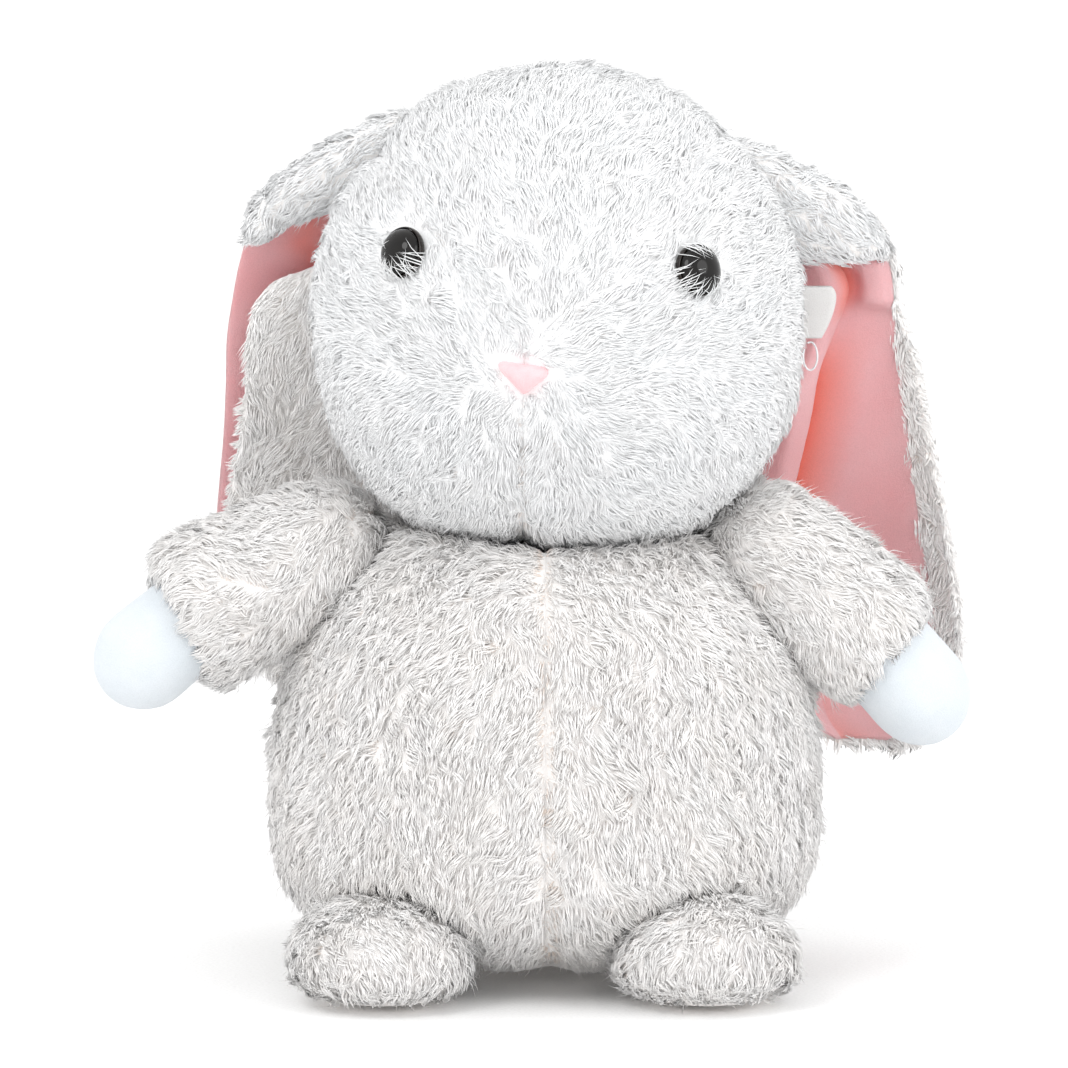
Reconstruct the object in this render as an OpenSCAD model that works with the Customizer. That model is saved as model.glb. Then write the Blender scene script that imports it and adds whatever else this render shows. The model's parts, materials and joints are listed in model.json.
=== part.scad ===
// Stuffed rabbit with long hanging ears, sewn from plush panels over loose stuffing.
// Millimetres, +Z up. The face looks along -Y. The origin is on the resting surface, under the body.
// "Left" is the rabbit's own left, which is at +X.

/* [Fabric] */
// Thickness of the plush fabric with its pile
pile = 8; // [6:0.5:9]
// Thickness of the smooth ear lining
lining = 2; // [1.5:0.5:2.5]
// Free space between pieces that move on each other
gap = 0.6; // [0.5:0.1:1]

/* [Head] */
// Radius of the head over its pile
head_r = 81; // [79:1:82]
// Height of the head's centre
head_z = 219; // [218:1:222]
// Diameter of the moulded eyes
eye_d = 17; // [14:1:18]
// Width of the sewn nose
nose_w = 20; // [16:1:22]

/* [Body] */
// Half width of the body at its widest
body_r = 91; // [88:1:92]
// Height of the widest place
body_mid = 52; // [50:1:54]
// Radius of the tail over its pile
tail_r = 24; // [20:1:26]

/* [Arms] */
// Radius of the sleeve at the shoulder
arm_r = 24; // [22:1:24]
// Length from the shoulder's centre to the tip of the paw
arm_len = 84; // [82:1:88]
// Radius of the paw
paw_r = 18; // [16:1:19]
// Angle by which the left arm hangs below level
arm_down_left = 40; // [36:1:42]
// Angle by which the right arm hangs below level
arm_down_right = 25; // [22:1:28]

/* [Feet] */
// Radius of each foot in plan
foot_r = 31; // [29:1:32]
// Distance of each foot from the middle
foot_x = 52; // [50:1:54]
// Angle by which a toe can be bent up
foot_up = 15; // [5:5:15]

/* [Ears] */
// Fold radius across the left ear
fold_left = 62; // [60:1:70]
// Fold radius across the right ear
fold_right = 38; // [36:1:42]
// Angle by which the left ear leans back
lean_left = 10; // [9:0.5:12]
// Angle by which the right ear leans back
lean_right = 23; // [22:0.5:25]

/* [Hidden] */
$fn = 64;
left = 1;
right = -1;
far = 400;

head_c = [4, -3, head_z];
seam_y = 2;
nose_x = -7;
nose_z = head_z - 11;
body_c = [0, 4, 0];
body_low = body_mid + 2;
body_high = 119;
base_h = 6;
shoulder = [73, -8, 139];
foot_y = -62;
foot_h = 40;
foot_hinge = [0, -45, 20];
sole_h = 3;
ear_root = [65, 10, 281];
ear_turn_right = 35;
ear_width_right = 0.85;
tail_c = [0, 96, 50];
shank_r = 2.5;
shank_len = 10;
washer_r = 8;
washer_h = 2;
label_size = [13, 1, 17];
label_tuck = 3;
label_y = 8;

// Outline of the forehead panel from the nose's centre: its lowest point and where its sides end
forehead_low = 5;
forehead_left = [120, 125];
forehead_right = [-100, 125];

// Outline of the nose from its centre: height of its corners, of its crown and of its lower tip
nose_corner = 5;
nose_crown = 6.5;
nose_tip = -6;

// Height below the ear's root, with the inner and the outer edge there, all from the root
ear_edges = [[0, -3, 4], [17, 5, 20], [33, 15, 40], [46, 20, 48], [78, 20, 54], [105, 12, 61],
             [135, 9, 68], [165, 11, 72], [190, 14, 70], [207, 20, 63], [216, 32, 51]];

cream = [0.93, 0.90, 0.88];
cool_white = [0.90, 0.91, 0.92];
pink = [0.98, 0.79, 0.80];
filling = [0.97, 0.97, 0.95];

function blend(a, b, c, d, t) = 0.5 * (2 * b + (c - a) * t + (2 * a - 5 * b + 4 * c - d) * t * t
                                       + (3 * b - a - 3 * c + d) * t * t * t);
function pick(list, i) = list[min(max(i, 0), len(list) - 1)];
function smooth(list, steps) = [for (i = [0:len(list) - 2], k = [0:steps - 1])
    blend(pick(list, i - 1), list[i], list[i + 1], pick(list, i + 2), k / steps)];
function backwards(list) = [for (i = [len(list) - 1:-1:0]) list[i]];

// Rounded outline from the axis: flat at the height "foot", widest at "mid", closed at the top
function bulge(t, power) = pow(abs(t), 2 / power);
function egg(r, mid, low, high, foot, power = 2.5, n = 8) =
    let (start = -asin(pow((mid - foot) / low, power / 2)))
    concat([[0, foot]],
           [for (i = [0:n - 1]) let (a = start * (1 - i / n))
               [r * bulge(cos(a), power), mid - low * bulge(sin(a), power)]],
           [for (i = [0:n]) let (a = 90 * i / n) [r * cos(a), mid + high * sin(a)]]);

module side_of(side) translate([side > 0 ? 0 : -far, -far, -far]) cube([far, 2 * far, 2 * far]);
module before(y) translate([-far, y - far, -far]) cube([2 * far, far, 2 * far]);
module behind(y) translate([-far, y, -far]) cube([2 * far, far, 2 * far]);
module above(z) translate([-far, -far, z]) cube([2 * far, 2 * far, far]);
module below(z) translate([-far, -far, z - far]) cube([2 * far, 2 * far, far]);

// ---- Head ----
module head_ball(inset = 0) translate(head_c) sphere(r = head_r - inset, $fn = 96);

// Wedge of the forehead panel, which opens upwards from the nose to the two ears
module forehead_wedge()
    rotate([90, 0, 0]) linear_extrude(height = far, center = true)
        translate([nose_x, nose_z])
            polygon([[0, forehead_low], forehead_left, [forehead_left.x, far],
                     [forehead_right.x, far], forehead_right]);

module head_skin() difference() {
    head_ball();
    head_ball(pile);
    eye_holes();
    nose_block();
}

module face_side(side) translate([nose_x, 0, 0]) side_of(side);

module head_cheek(side) color(cool_white) difference() {
    intersection() {
        head_skin();
        before(seam_y);
        face_side(side);
    }
    forehead_wedge();
}

module head_forehead() color(cool_white) intersection() {
    head_skin();
    before(seam_y);
    forehead_wedge();
}

module head_back() color(cool_white) intersection() {
    head_skin();
    behind(seam_y);
}

module head_stuffing() color(filling) difference() {
    head_ball(pile);
    eye_holes();
}

// ---- Eyes and nose ----
// Direction of each eye from the head's centre: angle round from the face, angle up
function eye_turn(side) = side > 0 ? 36.7 : -42.5;
function eye_rise(side) = side > 0 ? 14 : 17.8;

module at_eye(side) translate(head_c)
    rotate([0, 0, eye_turn(side)]) rotate([90 - eye_rise(side), 0, 0]) children();

module eye(side) color([0.03, 0.03, 0.03]) at_eye(side) {
    translate([0, 0, head_r - pile / 2]) intersection() {
        translate([0, 0, -eye_d / 4]) sphere(r = eye_d * 0.56);
        cylinder(r = eye_d / 2, h = eye_d);
    }
    translate([0, 0, head_r - pile - shank_len])
        cylinder(r = shank_r, h = shank_len + pile / 2);
}

module eye_washer(side) color([0.85, 0.85, 0.85]) at_eye(side) difference() {
    translate([0, 0, head_r - pile - washer_h]) cylinder(r = washer_r, h = washer_h);
    cylinder(r = shank_r + 0.05, h = far);
}

// Pocket for the eye in the pile, its shank's hole and the washer's seat in the stuffing
module eye_holes() for (side = [left, right]) at_eye(side) {
    translate([0, 0, head_r - pile / 2]) cylinder(r = eye_d / 2, h = eye_d);
    translate([0, 0, head_r - pile - shank_len]) cylinder(r = shank_r, h = shank_len + pile);
    translate([0, 0, head_r - pile - washer_h]) cylinder(r = washer_r, h = washer_h);
}

module nose_block() difference() {
    rotate([90, 0, 0]) linear_extrude(height = far)
        translate([nose_x, nose_z])
            polygon([[-nose_w / 2, nose_corner], [0, nose_tip],
                     [nose_w / 2, nose_corner], [0, nose_crown]]);
    head_ball(3);
}

module nose() color(pink) intersection() {
    nose_block();
    head_ball(-1);
}

// Blank ribbon label, sewn to the pile behind the left cheek
module seam_label() color("white") difference() {
    translate([head_c.x + head_r - label_tuck, label_y, head_z - 12]) cube(label_size);
    head_ball();
}

// ---- Ears ----
function ear_edge(k, width, inset) = [for (e = ear_edges) [e[k] * width + inset, -e[0]]];
module ear_outline(width, inset, first)
    polygon(concat(smooth([for (i = [first:len(ear_edges) - 1])
                               ear_edge(2, width, -inset)[i] + [0, inset]], 4),
                   backwards(smooth([for (i = [first:len(ear_edges) - 1])
                               ear_edge(1, width, inset)[i] + [0, inset]], 4))));

module ear_wall(side, inner, outer, inset, first) {
    fold = side > 0 ? fold_left : fold_right;
    width = side > 0 ? 1 : ear_width_right;
    intersection() {
        rotate([90, 0, 0]) linear_extrude(height = far, center = true)
            ear_outline(width, inset, first);
        translate([36 * width, -fold * 0.85, -far]) difference() {
            cylinder(r = fold + outer, h = 2 * far, $fn = 96);
            cylinder(r = fold + inner, h = 2 * far, $fn = 96);
        }
        behind(-fold * 0.85);
    }
}

module at_ear(side) translate([side * ear_root.x, ear_root.y, ear_root.z])
    mirror([side > 0 ? 0 : 1, 0, 0]) rotate([side > 0 ? lean_left : lean_right, 0, 0])
        rotate([0, 0, side > 0 ? 0 : ear_turn_right]) children();

module ear_plush(side) color(cream) at_ear(side) ear_wall(side, 0, pile - 1, 0, 0);

module ear_lining(side) color(pink) at_ear(side) ear_wall(side, -lining, 0, 5, 3);

// ---- Body ----
module body_shape(inset = 0) translate(body_c) rotate_extrude($fn = 96)
    polygon(egg(body_r - inset, body_mid, body_low - inset, body_high - inset, inset));

// Room in the body for the head, the tail and one side's arm and foot over their travel
module body_rooms(side) {
    head_ball(-gap);
    at_arm(side) sleeve_shape(-gap);
    for (bend = [0, foot_up]) foot_bent(side, bend) foot_shape(-1.3 * gap);
    translate(tail_c) sphere(r = tail_r);
}

module body_panel(side) color(cream) intersection() {
    difference() {
        body_shape();
        body_shape(pile);
        body_rooms(side);
        below(base_h);
    }
    side_of(side);
    children();
}

module body_base() color(cream) difference() {
    intersection() {
        body_shape();
        below(base_h);
    }
    body_shape(pile);
    for (side = [left, right]) foot_bent(side, 0) foot_shape(-1.3 * gap);
}

module body_stuffing() color(filling) difference() {
    body_shape(pile);
    body_rooms(left);
    body_rooms(right);
    pellet_pouch();
}

module pellet_pouch() color([0.8, 0.8, 0.85]) translate(body_c) rotate_extrude() {
    translate([28, 22]) circle(r = 11);
    translate([0, 11]) square([28, 22]);
}

// ---- Arms ----
function arm_down(side) = side > 0 ? arm_down_left : arm_down_right;
function arm_forward(side) = side > 0 ? 6 : 12;

module at_arm(side) translate([side * shoulder.x, shoulder.y, shoulder.z])
    mirror([side > 0 ? 0 : 1, 0, 0]) rotate([0, arm_down(side), 0])
        rotate([0, 90, -arm_forward(side)]) children();

sleeve_end = arm_len - 30;
paw_skin = 3;
function sleeve_side(inset) = [for (a = [-90:15:0]) (arm_r - inset) * [cos(a), sin(a)]];
module sleeve_shape(inset = 0) rotate_extrude()
    polygon(concat(sleeve_side(inset), [[arm_r + 1 - inset, 20], [arm_r + 1 - inset, 38],
            [arm_r - 2 - inset, sleeve_end - 4], [arm_r - 6 - inset, sleeve_end], [0, sleeve_end]]));

module paw_shape(inset = 0) rotate_extrude() polygon(concat(
    [[0, sleeve_end - 12], [paw_r - inset - 1, sleeve_end - 12]],
    [for (a = [0:15:90]) [0, arm_len - paw_r] + (paw_r - inset) * [cos(a), sin(a)]]));

module arm_sleeve(side) color(cream) at_arm(side) difference() {
    sleeve_shape();
    sleeve_shape(pile);
    paw_shape();
}

module paw(side) color([0.95, 0.96, 0.98]) at_arm(side) difference() {
    paw_shape();
    paw_shape(paw_skin);
}

module arm_stuffing(side) color(filling) at_arm(side) {
    difference() {
        sleeve_shape(pile);
        paw_shape();
    }
    paw_shape(paw_skin);
}

// ---- Feet ----
module foot_shape(inset = 0) translate([0, foot_y, 0]) rotate_extrude()
    polygon(egg(foot_r - inset, 14.5, 16 - inset, foot_h - 16 - inset, max(inset, 0), 2.4, 5));

module foot_bent(side, bend) translate([side * foot_x, 0, 0]) translate(foot_hinge)
    rotate([-bend, 0, 0]) translate(-foot_hinge) children();

module foot_upper(side) color(cream) foot_bent(side, 0) difference() {
    foot_shape();
    foot_shape(pile);
    below(sole_h);
}

module foot_sole(side) color(cream) foot_bent(side, 0) intersection() {
    foot_shape();
    below(sole_h);
}

module foot_stuffing(side) color(filling) foot_bent(side, 0) intersection() {
    foot_shape(pile);
    above(sole_h);
}

// ---- Tail ----
module tail_cover() color(cream) translate(tail_c) difference() {
    sphere(r = tail_r);
    sphere(r = tail_r - pile);
}

module tail_stuffing() color(filling) translate(tail_c) sphere(r = tail_r - pile);

head_forehead();
head_cheek(left);  // head_cheek_left
head_cheek(right);  // head_cheek_right
head_back();
head_stuffing();
eye(left);  // eye_left
eye(right);  // eye_right
eye_washer(left);  // eye_washer_left
eye_washer(right);  // eye_washer_right
nose();
seam_label();
ear_plush(left);  // ear_plush_left
ear_plush(right);  // ear_plush_right
ear_lining(left);  // ear_lining_left
ear_lining(right);  // ear_lining_right
body_panel(left) before(seam_y);  // body_front_left
body_panel(right) before(seam_y);  // body_front_right
body_panel(left) behind(seam_y);  // body_back_left
body_panel(right) behind(seam_y);  // body_back_right
body_base();
body_stuffing();
pellet_pouch();
arm_sleeve(left);  // arm_sleeve_left
arm_sleeve(right);  // arm_sleeve_right
paw(left);  // paw_left
paw(right);  // paw_right
arm_stuffing(left);  // arm_stuffing_left
arm_stuffing(right);  // arm_stuffing_right
foot_upper(left);  // foot_upper_left
foot_upper(right);  // foot_upper_right
foot_sole(left);  // foot_sole_left
foot_sole(right);  // foot_sole_right
foot_stuffing(left);  // foot_stuffing_left
foot_stuffing(right);  // foot_stuffing_right
tail_cover();
tail_stuffing();
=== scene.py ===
import json
import math

import bmesh
import bpy
import numpy as np
from mathutils import Matrix, Vector, kdtree


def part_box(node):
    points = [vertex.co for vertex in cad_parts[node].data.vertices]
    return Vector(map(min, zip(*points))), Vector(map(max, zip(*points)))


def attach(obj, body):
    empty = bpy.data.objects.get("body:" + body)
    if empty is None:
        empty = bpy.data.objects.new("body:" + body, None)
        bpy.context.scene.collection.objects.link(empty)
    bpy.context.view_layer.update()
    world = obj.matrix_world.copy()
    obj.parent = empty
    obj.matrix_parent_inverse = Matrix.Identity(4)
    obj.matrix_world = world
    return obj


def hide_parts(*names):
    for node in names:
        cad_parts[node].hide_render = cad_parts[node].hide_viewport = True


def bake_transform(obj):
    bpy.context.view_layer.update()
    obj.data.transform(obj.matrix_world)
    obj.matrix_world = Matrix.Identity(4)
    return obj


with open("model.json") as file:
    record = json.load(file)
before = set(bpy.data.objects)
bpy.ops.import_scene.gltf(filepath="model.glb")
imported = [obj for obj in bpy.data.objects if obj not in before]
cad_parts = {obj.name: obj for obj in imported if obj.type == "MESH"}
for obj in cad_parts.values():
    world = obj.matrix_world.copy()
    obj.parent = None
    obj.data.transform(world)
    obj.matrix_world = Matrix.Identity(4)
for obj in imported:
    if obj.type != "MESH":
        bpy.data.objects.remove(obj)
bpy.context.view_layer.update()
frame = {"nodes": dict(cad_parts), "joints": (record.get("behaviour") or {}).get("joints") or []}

# Stuffed rabbit. Lengths below are in millimetres and become metres when a mesh is made.
# "left" is the rabbit's own left, at +X, and the face looks along -Y.
MM = 0.001
SIDES = {"left": 1, "right": -1}


def box_mm(node):
    low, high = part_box(node)
    return np.array(low) / MM, np.array(high) / MM


def middle(node):
    low, high = box_mm(node)
    return (low + high) / 2


def extent(node):
    low, high = box_mm(node)
    return high - low


def joint_point(name):
    return np.array(next(j["pos_m"] for j in frame["joints"] if j["name"] == name)) / MM


HEAD = middle("head_stuffing")
HEAD_R = extent("head_stuffing")[0] / 2 + 8  # to the tips of the pile
HEAD_POWER = 2.5  # 2 would make the lower head a ball, and more fills the cheeks and chin
NOSE = np.array([-7.0, 0.0, HEAD[2] - 11])
NOSE_DROP, NOSE_SLOPE = 3.2, 0.13
SEAM_Y = 2.0  # the seam from side to side over head and body
FOREHEAD_LOW = 5.0  # how far above the nose the forehead panel ends
BROW_LEFT, BROW_RIGHT = 1.0, 1.2  # rise of the forehead's two seams over their run
EYES = {"left": (36.7, 14.0), "right": (-42.5, 17.8)}  # turn and rise from straight ahead, degrees
BODY_R = box_mm("body_back_left")[1][0]
BODY_C = np.array([0.0, 4.0, 0.0])
BODY_MID, BODY_LOW, BODY_HIGH = 52.0, 54.0, 107.0  # widest height, and the reach below and above
TAIL = middle("tail_cover")
TAIL_R = extent("tail_cover")[2] / 2
ARM_DOWN = {"left": (40.0, 6.0), "right": (25.0, 12.0)}  # hang and forward swing, degrees
ARM_R = 24.0
ARM_COVERED = 58.0  # length of arm that other pile keeps clear of
SHOULDER = {k: joint_point(f"arm_{k}_lift") for k in SIDES}
EAR_ROOT = {k: joint_point(f"ear_{k}_lift") for k in SIDES}
FOOT = {k: middle(f"foot_upper_{k}") * [1, 1, 0] for k in SIDES}
FOOT_R, FOOT_MID, FOOT_HALF = 31.0, 14.5, 24.0


def unit(v):
    return v / np.maximum(np.linalg.norm(v, axis=-1, keepdims=True), 1e-9)


def rot(axis, degrees):
    return np.array(Matrix.Rotation(math.radians(degrees), 3, axis))


def step(low, high, x):
    """Smooth rise from 0 at low to 1 at high."""
    t = np.clip((x - low) / (high - low), 0, 1)
    return t * t * (3 - 2 * t)


def near(distance, width):
    """1 where the distance is 0, fading to nothing past about twice the width."""
    return np.exp(-(distance / width) ** 2)


def head_size(points):
    """Distance from the head's middle to its surface, in the direction of each point."""
    way = unit(points - HEAD)
    down = np.clip(-way[:, 2:], 1e-6, 1)
    flat = np.sqrt(1 - down ** 2)
    return HEAD_R * (down ** HEAD_POWER + flat ** HEAD_POWER) ** (-1 / HEAD_POWER)


def swirl(points, scale, seed):
    """Smooth noise between about -1 and 1 that changes over about "scale" mm."""
    draw = np.random.default_rng(seed)
    total = np.zeros(len(points))
    for i in range(6):
        way = unit(draw.normal(size=3))
        total += np.sin(points @ way * (1 + 0.35 * i) * 2 / scale + draw.uniform(0, 6.28))
    return total / 3.2


# ---- Materials ----
MATERIALS = {}


def new_material(name):
    material = MATERIALS[name] = bpy.data.materials.new(name)
    material.use_nodes = True
    tree = material.node_tree
    return tree, tree.nodes["Principled BSDF"]


def set_sockets(node, values):
    for name, value in values.items():
        node.inputs[name].default_value = value


def ramp(tree, factor, stops):
    node = tree.nodes.new("ShaderNodeValToRGB")
    while len(node.color_ramp.elements) < len(stops):
        node.color_ramp.elements.new(0.5)
    for element, (place, colour) in zip(node.color_ramp.elements, stops):
        element.position = place
        element.color = (*colour, 1)
    tree.links.new(factor, node.inputs["Fac"])
    return node.outputs["Color"]


def noise(tree, scale, detail=3.0, rough=0.5):
    place = tree.nodes.new("ShaderNodeTexCoord")
    node = tree.nodes.new("ShaderNodeTexNoise")
    set_sockets(node, {"Scale": scale, "Detail": detail, "Roughness": rough})
    tree.links.new(place.outputs["Object"], node.inputs["Vector"])
    return node.outputs["Fac"]


def mixed(tree, kind, factor, a, b):
    node = tree.nodes.new("ShaderNodeMix")
    node.data_type = "RGBA"
    node.blend_type = kind
    if isinstance(factor, float):
        node.inputs[0].default_value = factor
    else:
        tree.links.new(factor, node.inputs[0])
    for socket, value in ((node.inputs[6], a), (node.inputs[7], b)):
        if isinstance(value, tuple):
            socket.default_value = (*value, 1)
        else:
            tree.links.new(value, socket)
    return node.outputs[2]


def attribute(tree, name):
    node = tree.nodes.new("ShaderNodeAttribute")
    node.attribute_name = name
    return node.outputs["Fac"]


def bump(tree, shader, height, strength, distance):
    node = tree.nodes.new("ShaderNodeBump")
    set_sockets(node, {"Strength": strength, "Distance": distance})
    tree.links.new(height, node.inputs["Height"])
    tree.links.new(node.outputs["Normal"], shader.inputs["Normal"])


def pile_material(name, seam, root, middle_tone, tip, tint):
    """Fibres: a colour at seams, one at the root, middle and tip, and patches of another tint."""
    tree, shader = new_material(name)
    tone = ramp(tree, attribute(tree, "tone"),
                [(0.0, seam), (0.25, root), (0.55, middle_tone), (1.0, tip)])
    patch = ramp(tree, noise(tree, 55.0), [(0.42, (1, 1, 1)), (0.72, tint)])
    tree.links.new(mixed(tree, "MULTIPLY", 1.0, tone, patch), shader.inputs["Base Color"])
    set_sockets(shader, {"Roughness": 0.8, "Specular IOR Level": 0.25, "Sheen Weight": 0.4,
                         "Sheen Roughness": 0.5})


def cloth_material(name, dark, light, scale, grain, rough=0.85, sheen=0.3, painted_crease_shade=None):
    """Woven or velour cloth: two tones in patches, a fine grain in relief, and a colour of painted
    shade for its folds and creases.
    """
    tree, shader = new_material(name)
    colour = ramp(tree, noise(tree, scale), [(0.3, dark), (0.7, light)])
    if painted_crease_shade:
        # Painted shade: a darker coral mixed in where the cloth's folds and creases lie in shade.
        colour = mixed(tree, "MIX", attribute(tree, "painted_fold_shade"), colour, painted_crease_shade)
    fine = noise(tree, grain, 2.0, 0.6)
    speck = ramp(tree, fine, [(0.3, (0.93, 0.93, 0.93)), (0.6, (1, 1, 1))])
    tree.links.new(mixed(tree, "MULTIPLY", 1.0, colour, speck), shader.inputs["Base Color"])
    set_sockets(shader, {"Roughness": rough, "Specular IOR Level": 0.3, "Sheen Weight": sheen,
                         "Sheen Roughness": 0.45})
    bump(tree, shader, fine, 0.35, 0.0004)


def plastic_material(name, dark, light, rough, coat):
    tree, shader = new_material(name)
    colour = ramp(tree, noise(tree, 400.0), [(0.3, dark), (0.7, light)])
    tree.links.new(colour, shader.inputs["Base Color"])
    set_sockets(shader, {"Roughness": rough, "Specular IOR Level": 0.3, "Coat Weight": coat,
                         "Coat Roughness": 0.03})
    bump(tree, shader, noise(tree, 900.0), 0.03, 0.0002)


pile_material("head_pile", (0.82, 0.76, 0.72), (0.94, 0.943, 0.948), (0.945, 0.95, 0.956),
              (0.935, 0.943, 0.95), (0.985, 0.992, 0.997))
pile_material("cream_pile", (0.78, 0.68, 0.61), (0.965, 0.94, 0.92), (0.98, 0.965, 0.953),
              (0.985, 0.977, 0.97), (0.992, 0.98, 0.968))
cloth_material("backing", (0.95, 0.925, 0.905), (0.97, 0.95, 0.935), 90.0, 1600.0)
cloth_material("velour", (0.66, 0.71, 0.75), (0.71, 0.75, 0.785), 70.0, 2600.0, sheen=0.15)
cloth_material("cool_backing", (0.93, 0.933, 0.937), (0.955, 0.958, 0.962), 90.0, 1600.0)
# The lining's last colour is painted shade: coral for its folds and creases.
cloth_material("lining", (0.98, 0.66, 0.68), (0.99, 0.73, 0.75), 35.0, 2200.0, 0.6, 0.4,
               painted_crease_shade=(0.97, 0.30, 0.22))
cloth_material("nose", (0.93, 0.53, 0.56), (0.96, 0.62, 0.64), 200.0, 2500.0)
plastic_material("eye", (0.004, 0.0035, 0.0035), (0.008, 0.007, 0.006), 0.07, 0.0)
plastic_material("iris", (0.010, 0.008, 0.007), (0.02, 0.014, 0.011), 0.2, 0.2)
cloth_material("ribbon", (0.93, 0.93, 0.92), (0.97, 0.97, 0.965), 60.0, 3000.0, 0.4)
plastic_material("clear", (0.72, 0.74, 0.75), (0.86, 0.88, 0.89), 0.2, 0.3)


# ---- Mesh tools ----
scene = bpy.context.scene


def linked(name, data):
    piece = bpy.data.objects.new(name, data)
    scene.collection.objects.link(piece)
    return piece


def new_object(name, data, material):
    data.materials.append(MATERIALS[material])
    return linked(name, data)


def place(piece, body, slot, replaced=(), fill=None):
    """Puts a piece on a body. If body is a pair given as (first, second, start, end), the piece is
    only fixed where it stands.
    """
    if isinstance(body, tuple):
        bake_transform(piece)
    else:
        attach(piece, body)
    if replaced:
        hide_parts(*replaced)
    return piece


def bm_object(name, bm, material, subdivide=0):
    bmesh.ops.recalc_face_normals(bm, faces=bm.faces)
    mesh = bpy.data.meshes.new(name)
    bm.to_mesh(mesh)
    bm.free()
    mesh.transform(Matrix.Scale(MM, 4))
    mesh.shade_smooth()
    piece = new_object(name, mesh, material)
    if subdivide:
        modifier = piece.modifiers.new("smooth", "SUBSURF")
        modifier.levels = modifier.render_levels = subdivide
    return piece


def coords(bm):
    return np.array([v.co for v in bm.verts], float).reshape(-1, 3)


def set_coords(bm, points):
    for v, p in zip(bm.verts, points):
        v.co = p


def ball(centre, radius, level):
    bm = bmesh.new()
    bmesh.ops.create_icosphere(bm, subdivisions=level, radius=radius)
    bmesh.ops.translate(bm, verts=bm.verts, vec=Vector(centre))
    return bm


def grid(points, closed=False):
    """A sheet of faces through an array of points, rows by columns, or a tube if closed."""
    rows, columns = points.shape[:2]
    bm = bmesh.new()
    verts = [bm.verts.new(p) for p in points.reshape(-1, 3)]
    for i in range(rows - 1):
        for j in range(columns if closed else columns - 1):
            k = (j + 1) % columns
            bm.faces.new([verts[i * columns + j], verts[i * columns + k],
                          verts[(i + 1) * columns + k], verts[(i + 1) * columns + j]])
    return bm


def lathe(profile, segments):
    """Turned shape about Z from (radius, height) points; points on the axis become one."""
    turn = np.linspace(0, 2 * math.pi, segments, endpoint=False)
    profile = np.array(profile, float)
    points = np.stack([np.outer(profile[:, 0], np.cos(turn)), np.outer(profile[:, 0], np.sin(turn)),
                       np.repeat(profile[:, 1:2], segments, 1)], -1)
    bm = grid(points, closed=True)
    bmesh.ops.remove_doubles(bm, verts=bm.verts, dist=1e-4)
    return bm


def put(bm, turn, start):
    """Turns a shape that was made about the origin, and carries it to its place."""
    bmesh.ops.transform(bm, matrix=Matrix(turn.tolist()).to_4x4(), verts=bm.verts)
    bmesh.ops.translate(bm, vec=Vector(start), verts=bm.verts)


def keep_side(bm, point, way):
    """Cuts the mesh by a plane and keeps what lies on the side that "way" points to."""
    bmesh.ops.bisect_plane(bm, geom=bm.verts[:] + bm.edges[:] + bm.faces[:],
                           plane_co=Vector(point), plane_no=Vector(way), clear_inner=True)


def outer_arrays(bm):
    """Points, outward normals and triangles of an open skin, for planting the pile."""
    bm.normal_update()
    bm.verts.index_update()
    points = coords(bm)
    normals = np.array([v.normal for v in bm.verts], float)
    loops = bm.calc_loop_triangles()
    triangles = np.array([[l.vert.index for l in t] for t in loops])
    return points, normals, triangles


def thicken(bm, thickness):
    """Closes an open skin into cloth of that thickness, on its inner side."""
    bmesh.ops.solidify(bm, geom=bm.faces[:], thickness=thickness)


def cover(name, bm, thickness, body, replaced, fill, slot="body_plush", material="backing"):
    """Makes a piece of plush from an open skin, and gives the skin to plant pile on."""
    skin = outer_arrays(bm)
    thicken(bm, thickness)
    place(bm_object(name, bm, material), body, slot, replaced, fill)
    return skin


CLOTH_VOXEL, CLOTH_PRESSURE, CLOTH_FRAMES = 2.2, 4.0, 20
CLOTH_CAP = 2.0  # most that a point of the cloth may move


def puffed(bm):
    """Fills a closed cover by cloth simulation and keeps its mean size."""
    mesh = bpy.data.meshes.new("padding")
    bm.to_mesh(mesh)
    mesh.transform(Matrix.Scale(MM, 4))
    pad = linked("padding", mesh)
    remesh = pad.modifiers.new("remesh", "REMESH")
    remesh.mode = "VOXEL"
    remesh.voxel_size = CLOTH_VOXEL * MM
    even = bpy.data.meshes.new_from_object(
        pad.evaluated_get(bpy.context.evaluated_depsgraph_get()))
    pad.modifiers.clear()
    pad.data = even
    start = np.empty(len(even.vertices) * 3)
    even.vertices.foreach_get("co", start)
    normals = np.empty(len(start))
    even.vertices.foreach_get("normal", normals)
    start, normals = start.reshape(-1, 3) / MM, normals.reshape(-1, 3)
    cloth = pad.modifiers.new("cloth", "CLOTH").settings
    cloth.use_pressure = True
    cloth.uniform_pressure_force = CLOTH_PRESSURE
    cloth.effector_weights.gravity = 0
    for i in range(1, CLOTH_FRAMES + 1):
        scene.frame_set(i)
    done = pad.evaluated_get(bpy.context.evaluated_depsgraph_get()).to_mesh()
    end = np.empty(len(done.vertices) * 3)
    done.vertices.foreach_get("co", end)
    move = end.reshape(-1, 3) / MM - start
    far = np.linalg.norm(move, axis=1, keepdims=True)
    move *= np.minimum(1, CLOTH_CAP / np.maximum(far, 1e-6))
    swell = (move * normals).sum(1).mean()
    start = start + move - normals * swell
    pad.modifiers.clear()
    scene.frame_set(1)
    result = bmesh.new()
    result.from_mesh(even)
    set_coords(result, start)
    bpy.data.objects.remove(pad)
    return result


# ---- Pile ----
STRANDS_A_PIECE = 19500  # at 10 triangles each, a piece stays under 200,000
SKIN_A_STRAND = 0.8  # square millimetres
STRAND_R = 0.27
STRAY = 0.03  # share of fibres that stand off their clump
ROOT_DEPTH = 0.5  # how far the roots are sunk in the skin
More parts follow.
